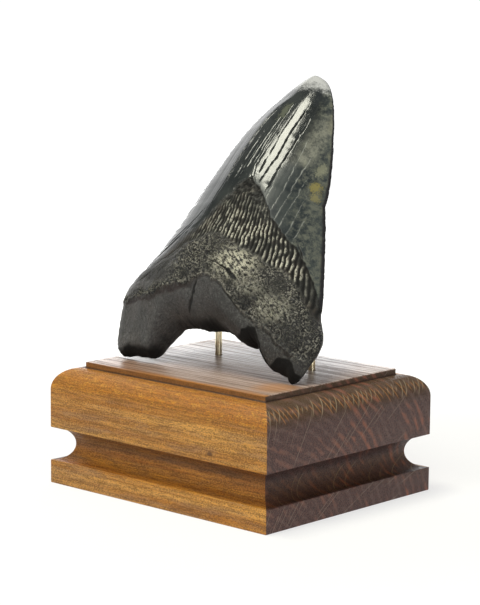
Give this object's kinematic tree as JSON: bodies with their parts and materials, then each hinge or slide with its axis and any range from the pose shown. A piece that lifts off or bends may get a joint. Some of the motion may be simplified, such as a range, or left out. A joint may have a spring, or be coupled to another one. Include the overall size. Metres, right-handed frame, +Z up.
{
  "type": "megalodon tooth on a stand",
  "caption": "Fossil megalodon tooth standing on its root lobes on a moulded wooden base, leaning back on upright brass pins.",
  "frame": {"origin": "middle of the base's underside", "axes": "+Z up; +X along the base's long sides, to the right as one faces the tooth's bulging side; -Y towards the viewer of that side"},
  "size_m": [0.127, 0.113, 0.1764],
  "materials": {
    "base_wood": "satin oiled hardwood, golden brown along the grain and dark red-brown at the end grain",
    "brass": "satin drawn rod",
    "fossil": "glossy grey-black enamel with olive mottling, satin root"
  },
  "bodies": {
    "root": {"base": "base_wood", "pin_left": "brass", "pin_right": "brass", "tooth": "fossil"}
  },
  "joints": []
}
